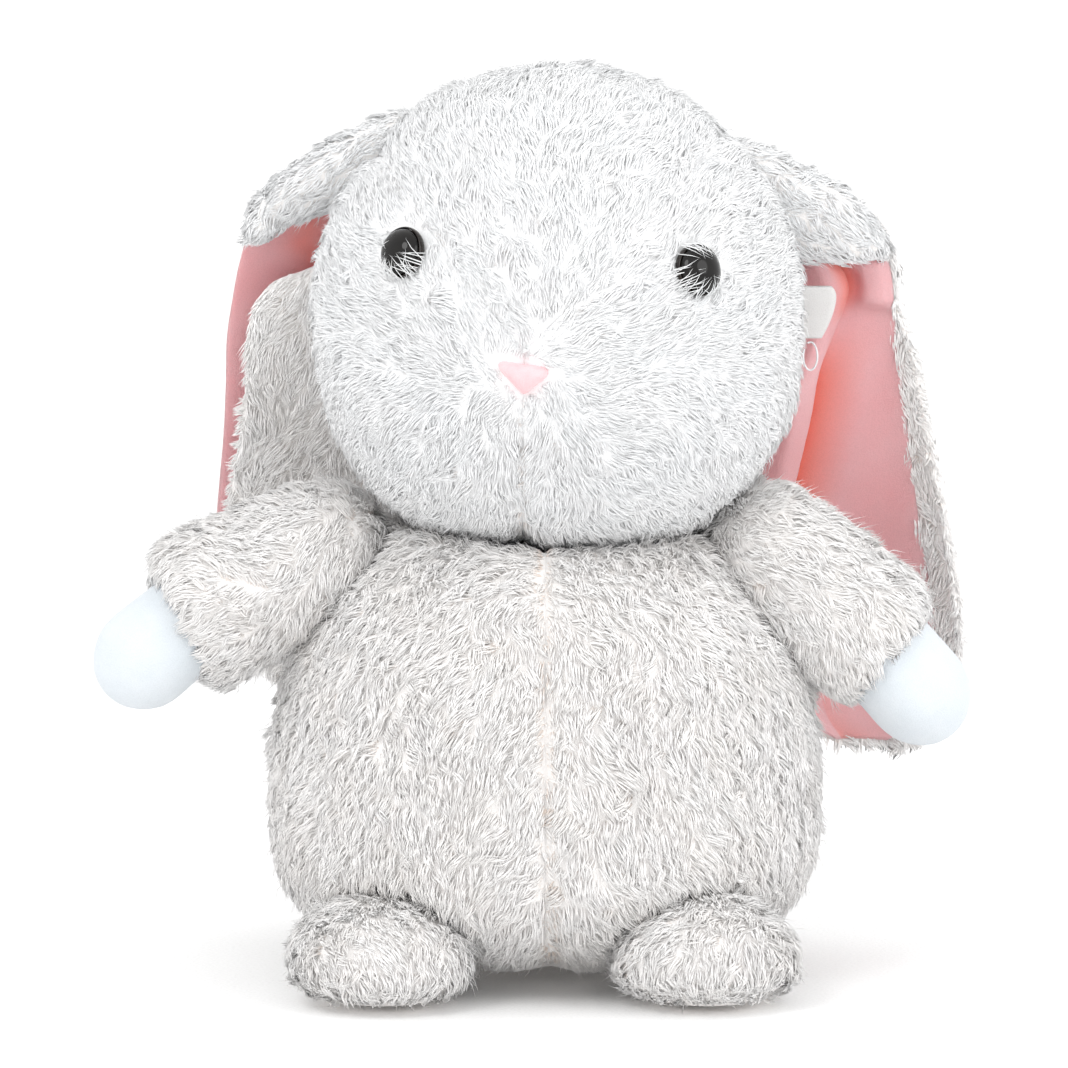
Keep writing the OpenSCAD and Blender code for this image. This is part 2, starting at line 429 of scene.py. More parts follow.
# A fibre is a closed three-sided spike: corners 0-2 at the root, 3-5 halfway and 6 at the tip
STRAND_LOOPS = np.array([0, 2, 1, 0, 1, 4, 3, 1, 2, 5, 4, 2, 0, 3, 5, 3, 4, 6, 4, 5, 6, 5, 3, 6])
STRAND_SIZES = np.array([3, 4, 4, 4, 3, 3, 3])
STRAND_STARTS = np.concatenate([[0], np.cumsum(STRAND_SIZES)[:-1]])
QUAD_UV = [(0, 0), (1, 0), (1, 0.5), (0, 0.5)]
STRAND_UV = np.array([(0, 0), (0.5, 0.1), (1, 0)] + QUAD_UV * 3 + [(0, 0.5), (1, 0.5), (0.5, 1)] * 3)


def plant(skin, draw, keep):
    """Roots spread evenly over a skin, and the way out of the skin at each."""
    points, normals, triangles = skin
    a, b, c = (points[triangles[:, k]] for k in range(3))
    area = np.linalg.norm(np.cross(b - a, c - a), axis=1) / 2
    count = int(area.sum() / SKIN_A_STRAND)
    steps = (np.arange(count) + draw.uniform(0, 1, count)) * area.sum() / count
    which = np.minimum(np.searchsorted(np.cumsum(area), steps), len(triangles) - 1)
    u, v = draw.uniform(0, 1, (2, count))
    over = u + v > 1
    u[over], v[over] = 1 - u[over], 1 - v[over]
    w = np.stack([1 - u - v, u, v], 1)[:, :, None]
    roots = (points[triangles[which]] * w).sum(1)
    ways = unit((normals[triangles[which]] * w).sum(1))
    if keep is not None:
        kept = keep(roots)
        roots, ways = roots[kept], ways[kept]
    return roots, ways


def pile(name, body, slot, material, skin, comb, length, seed, keep=None, lift=(42, 10),
         clump=16, draw_in=0.42, stay=None, sway=0.5, warm=None):
    """Grows pile on a skin, or from given (roots, ways): fibres that lean as "comb" says, in clumps.

    lift gives the angles, in degrees, of a fibre's lower and upper half over the skin. clump is how
    many fibres share a leader, and draw_in how far their tips go to its tip. warm lowers the tone at
    seams. Each property differs first from clump to clump and then from fibre to fibre.
    """
    draw = np.random.default_rng(seed)
    if len(skin) == 2:
        roots, ways = skin
    else:
        roots, ways = plant(skin, draw, keep)
    count = len(roots)
    lengths = length(roots) if callable(length) else np.full(count, float(length))
    lean = comb(roots, ways)
    lean = unit(lean - (lean * ways).sum(1)[:, None] * ways)
    across = np.cross(ways, lean)
    leaders = draw.choice(count, max(count // clump, 1), replace=False)
    tree = kdtree.KDTree(len(leaders))
    for i, k in enumerate(leaders):
        tree.insert(roots[k], i)
    tree.balance()
    member = np.array([tree.find(p)[1] for p in roots])
    gathered = draw.normal(0, 1, (4, len(leaders)))
    turn = sway * swirl(roots, 28, seed) + 0.38 * gathered[0][member] + draw.normal(0, 0.16, count)
    lean = lean * np.cos(turn)[:, None] + across * np.sin(turn)[:, None]
    up = np.radians(lift[0] + 9 * gathered[1][member] + draw.normal(0, 6, count))
    down = np.radians(lift[1] + 8 * gathered[2][member] + draw.normal(0, 8, count))
    stray = draw.uniform(0, 1, count) < STRAY
    up = np.where(stray, up + 0.3, up)[:, None]
    down = np.where(stray, down + 0.5, down)[:, None]
    size = lengths * (1 + 0.13 * gathered[3][member]) * draw.uniform(0.82, 1.12, count)
    size = np.where(stray, size * 1.25, size).clip(0.8, None)[:, None]
    low = roots - ways * ROOT_DEPTH
    mid = low + (lean * np.cos(up) + ways * np.sin(up)) * size * 0.5
    tip = mid + (lean * np.cos(down) + ways * np.sin(down)) * size * 0.5
    pull = np.where(stray, 0.1, draw_in * draw.uniform(0.5, 1.2, count))[:, None]
    mid = mid + (mid[leaders][member] - mid) * pull * 0.4
    tip = tip + (tip[leaders][member] - tip) * pull
    if stay is not None:
        mid, tip = stay(mid), stay(tip)
    mid[:, 2], tip[:, 2] = mid[:, 2].clip(0.4, None), tip[:, 2].clip(0.3, None)
    thick = STRAND_R * draw.uniform(0.75, 1.2, count) * np.where(stray, 0.6, 1)
    tone_of = 0.09 * gathered[0][member] + draw.normal(0, 0.05, count)
    if warm is not None:
        tone_of -= warm(roots)
    order = np.argsort(roots[:, 0], kind="stable")
    pieces = max(1, -(-count // STRANDS_A_PIECE))
    for i, share in enumerate(np.array_split(order, pieces)):
        label = name if pieces == 1 else f"{name}_{i + 1}"
        place(strands(label, material, low[share], mid[share], tip[share], ways[share],
                      thick[share], tone_of[share], draw), body, slot)


def strands(name, material, low, mid, tip, ways, thick, tone_of, draw):
    """One mesh of fibres: shaded partly as the skin, toned from root to tip, a UV cell each."""
    count = len(low)
    start = draw.uniform(0, 2.1, count)
    rings = []
    for centre, along, radius in ((low, mid - low, thick), (mid, tip - low, thick * 0.8)):
        along = unit(along)
        side = unit(np.cross(along, ways + along[:, [1, 2, 0]] * 0.05))
        other = np.cross(along, side)
        for k in range(3):
            turn = (start + k * 2 * math.pi / 3)[:, None]
            spoke = side * np.cos(turn) + other * np.sin(turn)
            rings.append((centre + spoke * radius[:, None], spoke))
    points = np.stack([corner for corner, _ in rings] + [tip], 1)
    roundness = 0.6
    normals = [spoke * roundness + ways for _, spoke in rings] + [ways + unit(tip - mid)]
    tone = np.stack([tone_of + 0.25] * 3 + [tone_of + 0.6] * 3 + [tone_of + 1], 1)
    mesh = bpy.data.meshes.new(name)
    mesh.vertices.add(count * 7)
    mesh.vertices.foreach_set("co", (points * MM).astype(np.float32).ravel())
    loops = (STRAND_LOOPS[None] + 7 * np.arange(count)[:, None]).ravel()
    mesh.loops.add(len(loops))
    mesh.loops.foreach_set("vertex_index", loops.astype(np.int32))
    starts = (STRAND_STARTS[None] + len(STRAND_LOOPS) * np.arange(count)[:, None]).ravel()
    mesh.polygons.add(len(starts))
    mesh.polygons.foreach_set("loop_start", starts.astype(np.int32))
    mesh.update(calc_edges=True)
    mesh.polygons.foreach_set("use_smooth", np.ones(len(starts), bool))
    mesh.attributes.new("tone", "FLOAT", "POINT").data.foreach_set(
        "value", tone.clip(0, 1).astype(np.float32).ravel())
    cells = math.ceil(math.sqrt(count))
    corner = np.stack([np.arange(count) % cells, np.arange(count) // cells], 1)[:, None]
    uv = (corner + 0.08 + STRAND_UV[None] * 0.84) / cells
    mesh.uv_layers.new(name="OFBake").data.foreach_set("uv", uv.astype(np.float32).ravel())
    mesh.normals_split_custom_set_from_vertices(unit(np.stack(normals, 1)).reshape(-1, 3))
    return new_object(name, mesh, material)


# ---- Spaces that the pile stays out of ----
def arm_turn(side):
    down, forward = ARM_DOWN[side]
    turn = rot("Y", down) @ rot("Z", -forward) @ rot("Y", 90)
    return np.diag([SIDES[side], 1, 1]) @ turn


ARM_AXIS = {k: arm_turn(k)[:, 2] for k in SIDES}


def pushed_out(points, inner, radius):
    """Moves points that are too near their inner point out to the radius."""
    away = points - inner
    far = np.linalg.norm(away, axis=1, keepdims=True)
    return np.where(far < radius, inner + away / np.maximum(far, 1e-6) * radius, points)


def out_of_arm(points, side, radius):
    along = (points - SHOULDER[side]) @ ARM_AXIS[side]
    inner = SHOULDER[side] + np.clip(along, 0, ARM_COVERED)[:, None] * ARM_AXIS[side]
    return pushed_out(points, inner, radius)


def out_of_foot(points, side, grow):
    centre = FOOT[side] + [0, 0, FOOT_MID]
    away = points - centre
    flat = np.hypot(away[:, 0], away[:, 1]) / (FOOT_R + grow)
    tall = np.abs(away[:, 2]) / (FOOT_HALF + grow)
    share = np.sqrt(flat ** 2 + tall ** 2)[:, None]
    return np.where(share < 1, centre + away / np.maximum(share, 1e-6), points)


def out_of_head(points, grow):
    return pushed_out(points, HEAD, head_size(points) + grow)


def out_of_limbs(points, grow):
    points = out_of_head(points, grow)
    for side in SIDES:
        points = out_of_arm(points, side, ARM_R + grow)
        points = out_of_foot(points, side, grow)
    return points


# ---- Head ----
def head_seam(p):
    """Distance to the nearest seam of the head: the crown, the chin and the forehead's two."""
    dx, dz = p[:, 0] - NOSE[0], p[:, 2] - NOSE[2] - FOREHEAD_LOW
    front = p[:, 1] < SEAM_Y
    far = 99  # where a seam doesn't run
    crown = np.abs(p[:, 1] - SEAM_Y)
    chin = np.where(front & (dz < 0), np.abs(dx), far)
    left = np.where(front & (dx > 0), np.abs(dz - dx * BROW_LEFT) / math.hypot(1, BROW_LEFT), far)
    right = np.where(front & (dx < 0), np.abs(dz + dx * BROW_RIGHT) / math.hypot(1, BROW_RIGHT), far)
    return np.minimum(np.minimum(crown, chin), np.minimum(left, right))


def nose_place(p):
    """Distance from the middle of the nose across, and height above its middle."""
    dx = p[:, 0] - NOSE[0]
    return np.abs(dx), p[:, 2] - (NOSE[2] - NOSE_DROP) + NOSE_SLOPE * dx


def eye_frame(side):
    turn, rise = EYES[side]
    basis = rot("Z", turn) @ rot("X", 90 - rise)
    return basis, HEAD + basis[:, 2] * (HEAD_R - 4)


def from_eye(p, side):
    return np.linalg.norm(p - eye_frame(side)[1], axis=1)


def from_nose(p):
    return np.hypot(p[:, 0] - NOSE[0], p[:, 2] - NOSE[2])


def head_shape(bm):
    """Grooves at the seams, hollows at the eyes and nose, full cheeks and slow unevenness."""
    points = coords(bm)
    push = -2.2 * near(head_seam(points), 4.5)
    for side in SIDES:
        push -= 2.5 * near(from_eye(points, side), 11)
    push -= 1.5 * near(from_nose(points), 9) * (points[:, 1] < 0)
    push += 0.8 * swirl(points, 30, 3) + (head_size(points)[:, 0] - HEAD_R)
    set_coords(bm, points + unit(points - HEAD) * push[:, None])


def head_comb(p, n):
    """Away from the nose in front, down behind."""
    away = unit((p - HEAD) * [1, 0, 1]
                - [NOSE[0] - HEAD[0], 0, NOSE[2] - NOSE_DROP - HEAD[2]])
    front = np.clip((SEAM_Y + 25 - p[:, 1]) / 50, 0, 1)[:, None]
    fall = np.array([0, 0, -1.0]) + unit((p - HEAD) * [1, 1, 0]) * 0.2
    low = np.clip((HEAD[2] - p[:, 2]) / 60, 0, 1)[:, None]
    return away * front + fall * (1 - front) + np.array([0, 0, -0.5]) * low


def head_length(p):
    """Shorter at the seams, around the eyes and around the nose."""
    length = 6.2 - 2.2 * near(head_seam(p), 3.0)
    for side in SIDES:
        length -= 2.0 * near(from_eye(p, side) - 8, 6)
    beyond = (from_nose(p) + (p[:, 1] > 0) * 99 - 6).clip(0, None)
    return length - 1.6 * near(beyond, 10)


def off_face(p):
    """Where pile may grow: not on the eyes or under the nose."""
    across, tall = nose_place(p)
    kept = (tall >= 5.2) | (across >= 1.05 * (tall + 6.6)) | (p[:, 1] >= 0)
    for side in SIDES:
        kept &= from_eye(p, side) > 9.0
    return kept


def head_warm(p):
    chin = (p[:, 1] < 0) & (p[:, 2] < NOSE[2] - 10)
    return 0.45 * near(head_seam(p), 2.0) * np.where(chin, 1.0, 0.35)


def stay_on_head(p):
    """Keeps tips from standing off the head: at most 0.6 mm past its size."""
    away = p - HEAD
    far = np.linalg.norm(away, axis=1, keepdims=True)
    most = head_size(p) + 0.6
    return np.where(far > most, HEAD + away / far * most, p)


def make_head():
    left = (-BROW_LEFT, 0, 1)
    right = (BROW_RIGHT, 0, 1)
    start = NOSE + [0, 0, FOREHEAD_LOW]
    seam = (0, SEAM_Y, 0)
    panels = {
        "head_forehead": [(seam, (0, -1, 0)), (start, left), (start, right)],
        "head_cheek_left": [(seam, (0, -1, 0)), (start, (BROW_LEFT, 0, -1)), (NOSE, (1, 0, 0))],
        "head_cheek_right": [(seam, (0, -1, 0)), (start, (-BROW_RIGHT, 0, -1)), (NOSE, (-1, 0, 0))],
        "head_back": [(seam, (0, 1, 0))],
    }
    whole = ball(HEAD, HEAD_R - 3.6, 6)
    for seed, (name, cuts) in enumerate(panels.items()):
        bm = whole.copy()
        for point, way in cuts:
            keep_side(bm, point, way)
        head_shape(bm)
        replaced = (name, "head_stuffing") if name == "head_back" else (name,)
        skin = cover(name + "_cover", bm, 2.0, "head", replaced, 0.9, "head_plush", "cool_backing")
        pile(name + "_pile", "head", "head_plush", "head_pile", skin, head_comb, head_length,
             40 + seed, keep=off_face, stay=stay_on_head, lift=(38, 8), draw_in=0.4,
             warm=head_warm)
    whole.free()


# Eye and its rim: radius and height above the head's cover, turned about the line of sight
EYE_DOME = [(0, 5.4), (2.5, 5.25), (4.6, 4.6), (6.4, 3.4), (7.4, 2.0), (7.7, 1.0), (7.7, -0.5),
            (7.2, -2.0), (2.5, -2.6), (2.5, -10.5), (0, -10.5)]
EYE_RIM = [(7.75, 1.2), (8.2, 1.25), (8.5, 0.7), (8.5, -1.0), (7.9, -1.6), (7.75, -0.6), (7.75, 1.2)]


def make_eyes():
    for side in SIDES:
        for part, profile, level, material, replaced in (
                ("eye", EYE_DOME, 2, "eye", (f"eye_{side}",)), ("eye_rim", EYE_RIM, 1, "iris", ())):
            bm = lathe(profile, 48)
            put(bm, *eye_frame(side))
            place(bm_object(f"{part}_{side}_dome", bm, material, level), "head", "eye_plastic",
                  replaced)
        washer = frame["nodes"][f"eye_washer_{side}"]
        washer.data.materials.clear()
        washer.data.materials.append(MATERIALS["clear"])


def make_nose():
    """A sewn pad: a triangle with round corners, puffed up, with its edge tucked in."""
    half, top, slant = 10.3, 4.6, unit(np.array([10.1, -10.3]))
    turn = np.linspace(0, 2 * math.pi, 72, endpoint=False)
    way = np.stack([np.cos(turn), np.sin(turn)], 1)
    edges = [(top, [0.0, 1.0]), (np.array([half, top]) @ slant, slant),
             (np.array([half, top]) @ slant, slant * [-1, 1])]
    reach = np.min([far / np.maximum(way @ np.array(normal), 1e-3) for far, normal in edges],
                   axis=0).clip(0, 9.6)
    for _ in range(5):
        reach = (np.roll(reach, 1) + reach * 2 + np.roll(reach, -1)) / 4
    rings = []
    for share, height in ((0, -3.0), (1.0, -3.0), (1.02, -1.0), (0.98, 0.8), (0.86, 2.2),
                          (0.66, 3.2), (0.42, 3.8), (0.18, 4.0), (0.0, 4.05)):
        rings.append(np.column_stack([way * (reach * share)[:, None], np.full(len(turn), height)]))
    points = np.stack(rings)
    world = np.empty_like(points)
    world[..., 0] = NOSE[0] + points[..., 0]
    world[..., 2] = NOSE[2] - NOSE_DROP + points[..., 1] - NOSE_SLOPE * points[..., 0]
    dip = HEAD_R ** 2 - (world[..., 0] - HEAD[0]) ** 2 - (world[..., 2] - HEAD[2]) ** 2
    world[..., 1] = HEAD[1] - np.sqrt(dip) + 2.6 - points[..., 2]
    bm = grid(world, closed=True)
    bmesh.ops.remove_doubles(bm, verts=bm.verts, dist=1e-4)
    place(bm_object("nose_pad", bm, "nose", 1), "head", "nose_velour", ("nose",), 0.8)


# ---- Body ----
def egg(radius, mid, low, high, foot, power=2.5, count=26, upper=2.0):
    """Profile of a rounded body on a flat foot. The powers say how square each half is."""
    start = -math.asin(((mid - foot) / low) ** (power / 2))
    points = [(0, foot), (radius * 0.3, foot)]
    for a in np.linspace(start, 0, count):
        points.append((radius * math.cos(a) ** (2 / power),
                       mid - low * abs(math.sin(a)) ** (2 / power)))
    for a in np.linspace(0, math.pi / 2, count + 8)[1:]:
        points.append((radius * abs(math.cos(a)) ** (2 / upper),
                       mid + high * math.sin(a) ** (2 / upper)))
    points[-1] = (0, points[-1][1])
    return points


def body_seam(p):
    """Distance to the nearest seam: the two side ones, and the middle's, which wanders in front."""
    side = np.abs(p[:, 1] - SEAM_Y)
    centre = np.abs(p[:, 0] - np.where(p[:, 1] < 0, 2.0 * np.clip((120 - p[:, 2]) / 90, 0, 1), 0))
    return np.minimum(side, centre)


def body_shape(bm):
    """Grooves at the seams, and hollows for the tail, feet, arms and head."""
    points = coords(bm)
    way = unit((points - BODY_C - [0, 0, 60]) * [1, 1, 0.4])
    dip = 3.0 - 2.4 * step(100, 125, points[:, 2])
    push = swirl(points, 38, 8) - dip * near(body_seam(points), 6)
    points = points + way * push[:, None]
    points = pushed_out(points, TAIL, TAIL_R - 3)
    front = np.clip((-points[:, 1] - 30) / 45, 0, 1) * np.clip((40 - points[:, 2]) / 34, 0, 1)
    points[:, 2] += 7 * front
    points[:, 2] = points[:, 2].clip(1.0, None)
    set_coords(bm, out_of_limbs(points, 0.8))


def body_comb(p, n):
    """Down, and a little outward near the middle."""
    x = p[:, :1]
    return np.array([0, 0, -1.0]) + np.sign(x) * np.array([0.35, 0, 0]) * np.clip(
        1 - np.abs(x) / 40, 0, 1)


def body_length(p):
    return (7.0 - 3.2 * near(body_seam(p), 3.5)) * np.clip(0.45 + p[:, 2] / 26, 0.45, 1)


def body_open(p):
    """Where the body shows: not under the head, the arms, the feet or the tail."""
    moved = np.linalg.norm(out_of_limbs(p, -2.0) - p, axis=1)
    on_seam = (body_seam(p) < 0.5) & (p[:, 2] < 118)
    return (moved < 0.01) & (np.linalg.norm(p - TAIL, axis=1) > TAIL_R - 4) & ~on_seam


def body_warm(p):
    return 0.5 * near(body_seam(p), 2.4)


def make_body():
    base_top = 6.5
    whole = lathe(egg(BODY_R - 3.0, BODY_MID, BODY_LOW - 5, BODY_HIGH - 3.5, 5.0, upper=2.7), 144)
    bmesh.ops.translate(whole, vec=Vector(BODY_C), verts=whole.verts)
    base = whole.copy()
    for i, (name, x, y) in enumerate((("body_front_left", 1, -1), ("body_front_right", -1, -1),
                                      ("body_back_left", 1, 1), ("body_back_right", -1, 1))):
        bm = whole.copy()
        keep_side(bm, (0, 0, 0), (x, 0, 0))
        keep_side(bm, (0, SEAM_Y, 0), (0, y, 0))
        keep_side(bm, (0, 0, base_top), (0, 0, 1))
        body_shape(bm)
        extra = ("body_stuffing", "pellet_pouch") if name == "body_front_left" else ()
        skin = cover(name + "_cover", bm, 2.0, "torso", (name, *extra), 0.7)
        pile(name + "_pile", "torso", "body_plush", "cream_pile", skin, body_comb, body_length,
             60 + i, keep=body_open, stay=lambda p: out_of_limbs(p, -3.5), warm=body_warm)
    keep_side(base, (0, 0, base_top), (0, 0, -1))
    body_shape(base)
    thicken(base, 1.5)
    place(bm_object("body_base_cover", base, "backing"), "torso", "body_plush", ("body_base",), 0.4)
    whole.free()


# ---- Arms ----
# Radius and distance along the arm, from the shoulder
SLEEVE = {
    "left": [(21.3, 0), (22.0, 7), (22.6, 15), (23.2, 26), (23.3, 36), (22.4, 43), (20.2, 48),
             (17.4, 50.5), (15, 49.5)],
    "right": [(21.5, 0), (22.2, 7), (23.0, 16), (23.8, 26), (24.8, 35), (24.6, 42), (22.4, 48),
              (18.5, 51), (15, 50)],
}
PAW = {"left": (17.6, 39, 9.6), "right": (17.2, 39.5, 15.0)}  # radius, length, droop in degrees
PAW_START = 45.0


def uneven(points, depth, scale, seed):
    """Scales a shape about Z by slow noise, up to the share "depth"."""
    points[:, :2] *= (1 + depth * swirl(points, scale, seed))[:, None]
    return points


def make_sleeve(side, i):
    first = SLEEVE[side][0][0]
    shoulder = [(first * math.cos(a), first * math.sin(a)) for a in np.linspace(-1.4, -0.15, 9)]
    bm = lathe([(0, -first)] + shoulder + SLEEVE[side], 72)
    set_coords(bm, uneven(coords(bm), 0.035, 22, 20 + i))
    put(bm, arm_turn(side), SHOULDER[side])
    bmesh.ops.recalc_face_normals(bm, faces=bm.faces)
    skin = cover(f"arm_sleeve_{side}_cover", bm, 1.5, f"arm_{side}",
                 (f"arm_sleeve_{side}", f"arm_stuffing_{side}"), 0.7)
    axis, root = ARM_AXIS[side], SHOULDER[side]
    pile(f"arm_sleeve_{side}_pile", f"arm_{side}", "body_plush", "cream_pile", skin,
         lambda p, n: axis + np.array([0, 0, -0.35]),
         lambda p: 7.0 - 1.0 * np.clip(((p - root) @ axis - 45) / 10, 0, 1), 70 + i,
         stay=lambda p: out_of_head(p, -4))


def make_paw(side, i):
    """A velour mitten with a round end, filled by simulation; its seam is pressed in afterwards."""
    radius, length, droop = PAW[side]
    end = radius * 1.1
    dome = [(radius * math.cos(a), length - end + end * math.sin(a))
            for a in np.linspace(0.1, math.pi / 2, 12)]
    dome[-1] = (0, length)
    bm = puffed(lathe([(0, -4), (radius - 2.5, -3.4), (radius - 1.0, 0), (radius - 0.4, 6),
                       (radius - 0.1, 13), (radius, length - end)] + dome, 72))
    points = coords(bm)
    around = np.abs(np.arctan2(points[:, 1], points[:, 0]))
    seam = near(np.minimum(around, math.pi - around) * 17, 1.6)
    points[:, :2] *= (1 - 0.05 * seam * (points[:, 2] < length - 2))[:, None]
    set_coords(bm, uneven(points, 0.03, 16, 30 + i))
    put(bm, rot("Y", SIDES[side] * droop) @ arm_turn(side),
        SHOULDER[side] + ARM_AXIS[side] * PAW_START)
    place(bm_object(f"paw_{side}_velour", bm, "velour", 1), f"arm_{side}", "paw_velour",
          (f"paw_{side}",), 0.85)


def make_arms():
    for i, side in enumerate(SIDES):
        make_sleeve(side, i)
        make_paw(side, i)


# ---- Feet ----
def make_feet():
    sole_top = 3.5
    for i, side in enumerate(SIDES):
        centre = FOOT[side]
        bm = lathe(egg(FOOT_R - 3.2, FOOT_MID, 13.6, 20, 0.9, 2.6, 14), 72)
        bmesh.ops.translate(bm, vec=Vector(centre), verts=bm.verts)
        sole = bm.copy()
        keep_side(bm, (0, 0, sole_top), (0, 0, 1))
        keep_side(sole, (0, 0, sole_top), (0, 0, -1))
        points = coords(bm)
        swell = 0.8 * swirl(points, 20, 80 + i)[:, None] * (points[:, 2:] > 5)
        set_coords(bm, points + unit(points - centre - [0, 0, 12]) * swell)
        skin = cover(f"foot_upper_{side}_cover", bm, 1.5, f"foot_{side}",
                     (f"foot_upper_{side}", f"foot_stuffing_{side}"), 0.7)
        pile(f"foot_upper_{side}_pile", f"foot_{side}", "body_plush", "cream_pile", skin,
             lambda p, n: unit((p - centre) * [1, 1, 0]) * 0.6 + np.array([0, -0.5, -0.5]),
             lambda p: 6.6 * np.clip(0.5 + p[:, 2] / 20, 0.5, 1), 84 + i,
             keep=lambda p: p[:, 1] < centre[1] + 24)
        thicken(sole, 1.0)
        place(bm_object(f"foot_sole_{side}_cover", sole, "backing"), f"foot_{side}", "body_plush",
              (f"foot_sole_{side}",), 0.4)


# ---- Tail ----
def make_tail():
    skin = cover("tail_ball", ball(TAIL, TAIL_R - 7, 4), 1.5, "torso",
                 ("tail_cover", "tail_stuffing"), 0.8)
    pile("tail_pile", "torso", "body_plush", "cream_pile", skin,
         lambda p, n: np.array([0, 0.6, -0.7]) + unit(p - TAIL) * [0.6, 0, 0], 8.5, 90,
         sway=1.1, lift=(62, 34))


# ---- Ears ----
EAR_LEAN = {"left": 10.0, "right": 23.0}  # degrees that the ear's frame leans back
# Depth down the ear, then places across it from the root: the plush's inner and outer edge
PLUSH_LEFT = np.array([[22, 5, 27], [34, 10, 40], [49, 16, 48], [69, 17, 50.5], [79, 16, 54],
                       [105, 8, 59.5], [127, 4, 64], [148, 3, 68], [176, 6, 71.5],
                       [199, 12, 69.5], [214, 22, 62], [221, 33, 50]], float)
# Depth, then the lining's inner edge, the fold of its flap and its outer edge
LINING_LEFT = np.array([[45, 17, 24, 44], [50, 18, 28, 46], [55, 19, 32, 47.5], [61, 19, 34, 48.5],
                        [68, 19, 32.5, 49], [76, 18, 29.5, 49.5], [88, 14, 25, 51],
                        [105, 10, 22, 53], [124, 6, 18, 55.5], [140, 5, 14.5, 57.5],
                        [160, 6, 11, 61], [176, 8, 11, 63.5], [199, 14, 16, 62],
                        [212, 22, 23.5, 56], [218, 31, 32, 48]], float)
# Depth, then the fold beside the head, the front half's edge and the back half's edge
RIGHT = np.array([[26, -3, 0, 18], [33, -2, 1, 25], [41, -1, 2, 28], [48, 0, 3, 31.5],
                  [53, 1, 5, 33.5], [57, 1, 12, 34.5], [60, 2, 21, 35.2], [64, 2, 26, 36],
                  [70, 3, 29.3, 37], [86, 1, 32, 39.3], [105, -4, 33.4, 40], [124, -9, 36, 41],
                  [142, -11, 38.6, 42.6], [160, -9, 41, 44], [180, -4, 40, 44], [198, 3, 35, 39],
                  [208, 9, 28, 31], [213, 14, 21, 24]], float)
OUTLINE = {"left": PLUSH_LEFT, "right": RIGHT}
# Hood over each root: height, inner and outer edge, middle from front to back, half thickness
HOOD = {
    "left": [(270, 58, 68, 6, 3), (266, 59, 76, 8, 6), (261, 60, 85, 10, 8),
             (255, 62, 95.5, 12, 9.5), (249, 64, 102.5, 14.5, 10.5), (243, 66, 107.5, 17, 11),
             (238, 67, 110.5, 19, 10.5), (234.5, 68, 111.5, 20.5, 9), (232, 71, 110, 21, 6)],
    "right": [(280, 38, 49, 4, 3), (277, 40, 56, 6, 6), (272, 43, 66, 8, 9), (267, 46, 74.5, 10, 11),
              (262, 49, 81, 12, 12), (257, 53, 87, 14, 12), (253, 57, 91, 16, 11),
              (249.5, 66, 94, 18, 9), (245, 80, 96, 20, 6.5), (241, 87, 97, 21, 5),
              (238.5, 90, 96.5, 21.5, 3)],
}
# Two points of each hood, one by the head and one by the ear: across and up
HOOD_BEND = {"left": (60, 268, 88, 247), "right": (52, 273, 80, 251)}


def spline(xs, ys, x):
    """Smooth curve through the points."""
    xs, ys = np.array(xs, float), np.array(ys, float)
    slope = np.gradient(ys, xs)
    i = np.clip(np.searchsorted(xs, x) - 1, 0, len(xs) - 2)
    h = xs[i + 1] - xs[i]
    t = np.clip((x - xs[i]) / h, 0, 1)
    return ((2 * t ** 3 - 3 * t ** 2 + 1) * ys[i] + (t ** 3 - 2 * t ** 2 + t) * h * slope[i]
            + (3 * t ** 2 - 2 * t ** 3) * ys[i + 1] + (t ** 3 - t ** 2) * h * slope[i + 1])


def columns_of(table, depth):
    return [spline(table[:, 0], table[:, k], depth) for k in range(1, table.shape[1])]


def ear_frame(side):
    return rot("X", EAR_LEAN[side]) @ np.diag([SIDES[side], 1, 1])


def ear_world(side, x, y, depth):
    """From the ear's own frame, across, back and down, to the rabbit's."""
    depth = np.broadcast_to(depth, x.shape)
    return np.stack([x, y, -depth], -1) @ ear_frame(side).T + EAR_ROOT[side]


def ear_local(side, points):
    return (points - EAR_ROOT[side]) @ ear_frame(side)


def ear_wall(x):
    """How far back the left ear's plush lies: it is cupped across."""
    return -52.7 + np.sqrt(62.0 ** 2 - (x - 36) ** 2)


def sections(points, count):
    """Smooth lines across, one for each row, through that row's points; evenly spaced samples."""
    rows = []
    for line in points:
        far = np.concatenate([[0], np.cumsum(np.linalg.norm(np.diff(line, axis=0), axis=1) + 1e-3)])
        at = np.linspace(0, far[-1], count)
        rows.append(np.stack([spline(far, line[:, k], at) for k in range(2)], -1))
    return np.array(rows)


def between(inner, outer, count):
    """Places across each row, from its inner to its outer end."""
    return inner[:, None] + (outer - inner)[:, None] * np.linspace(0, 1, count)


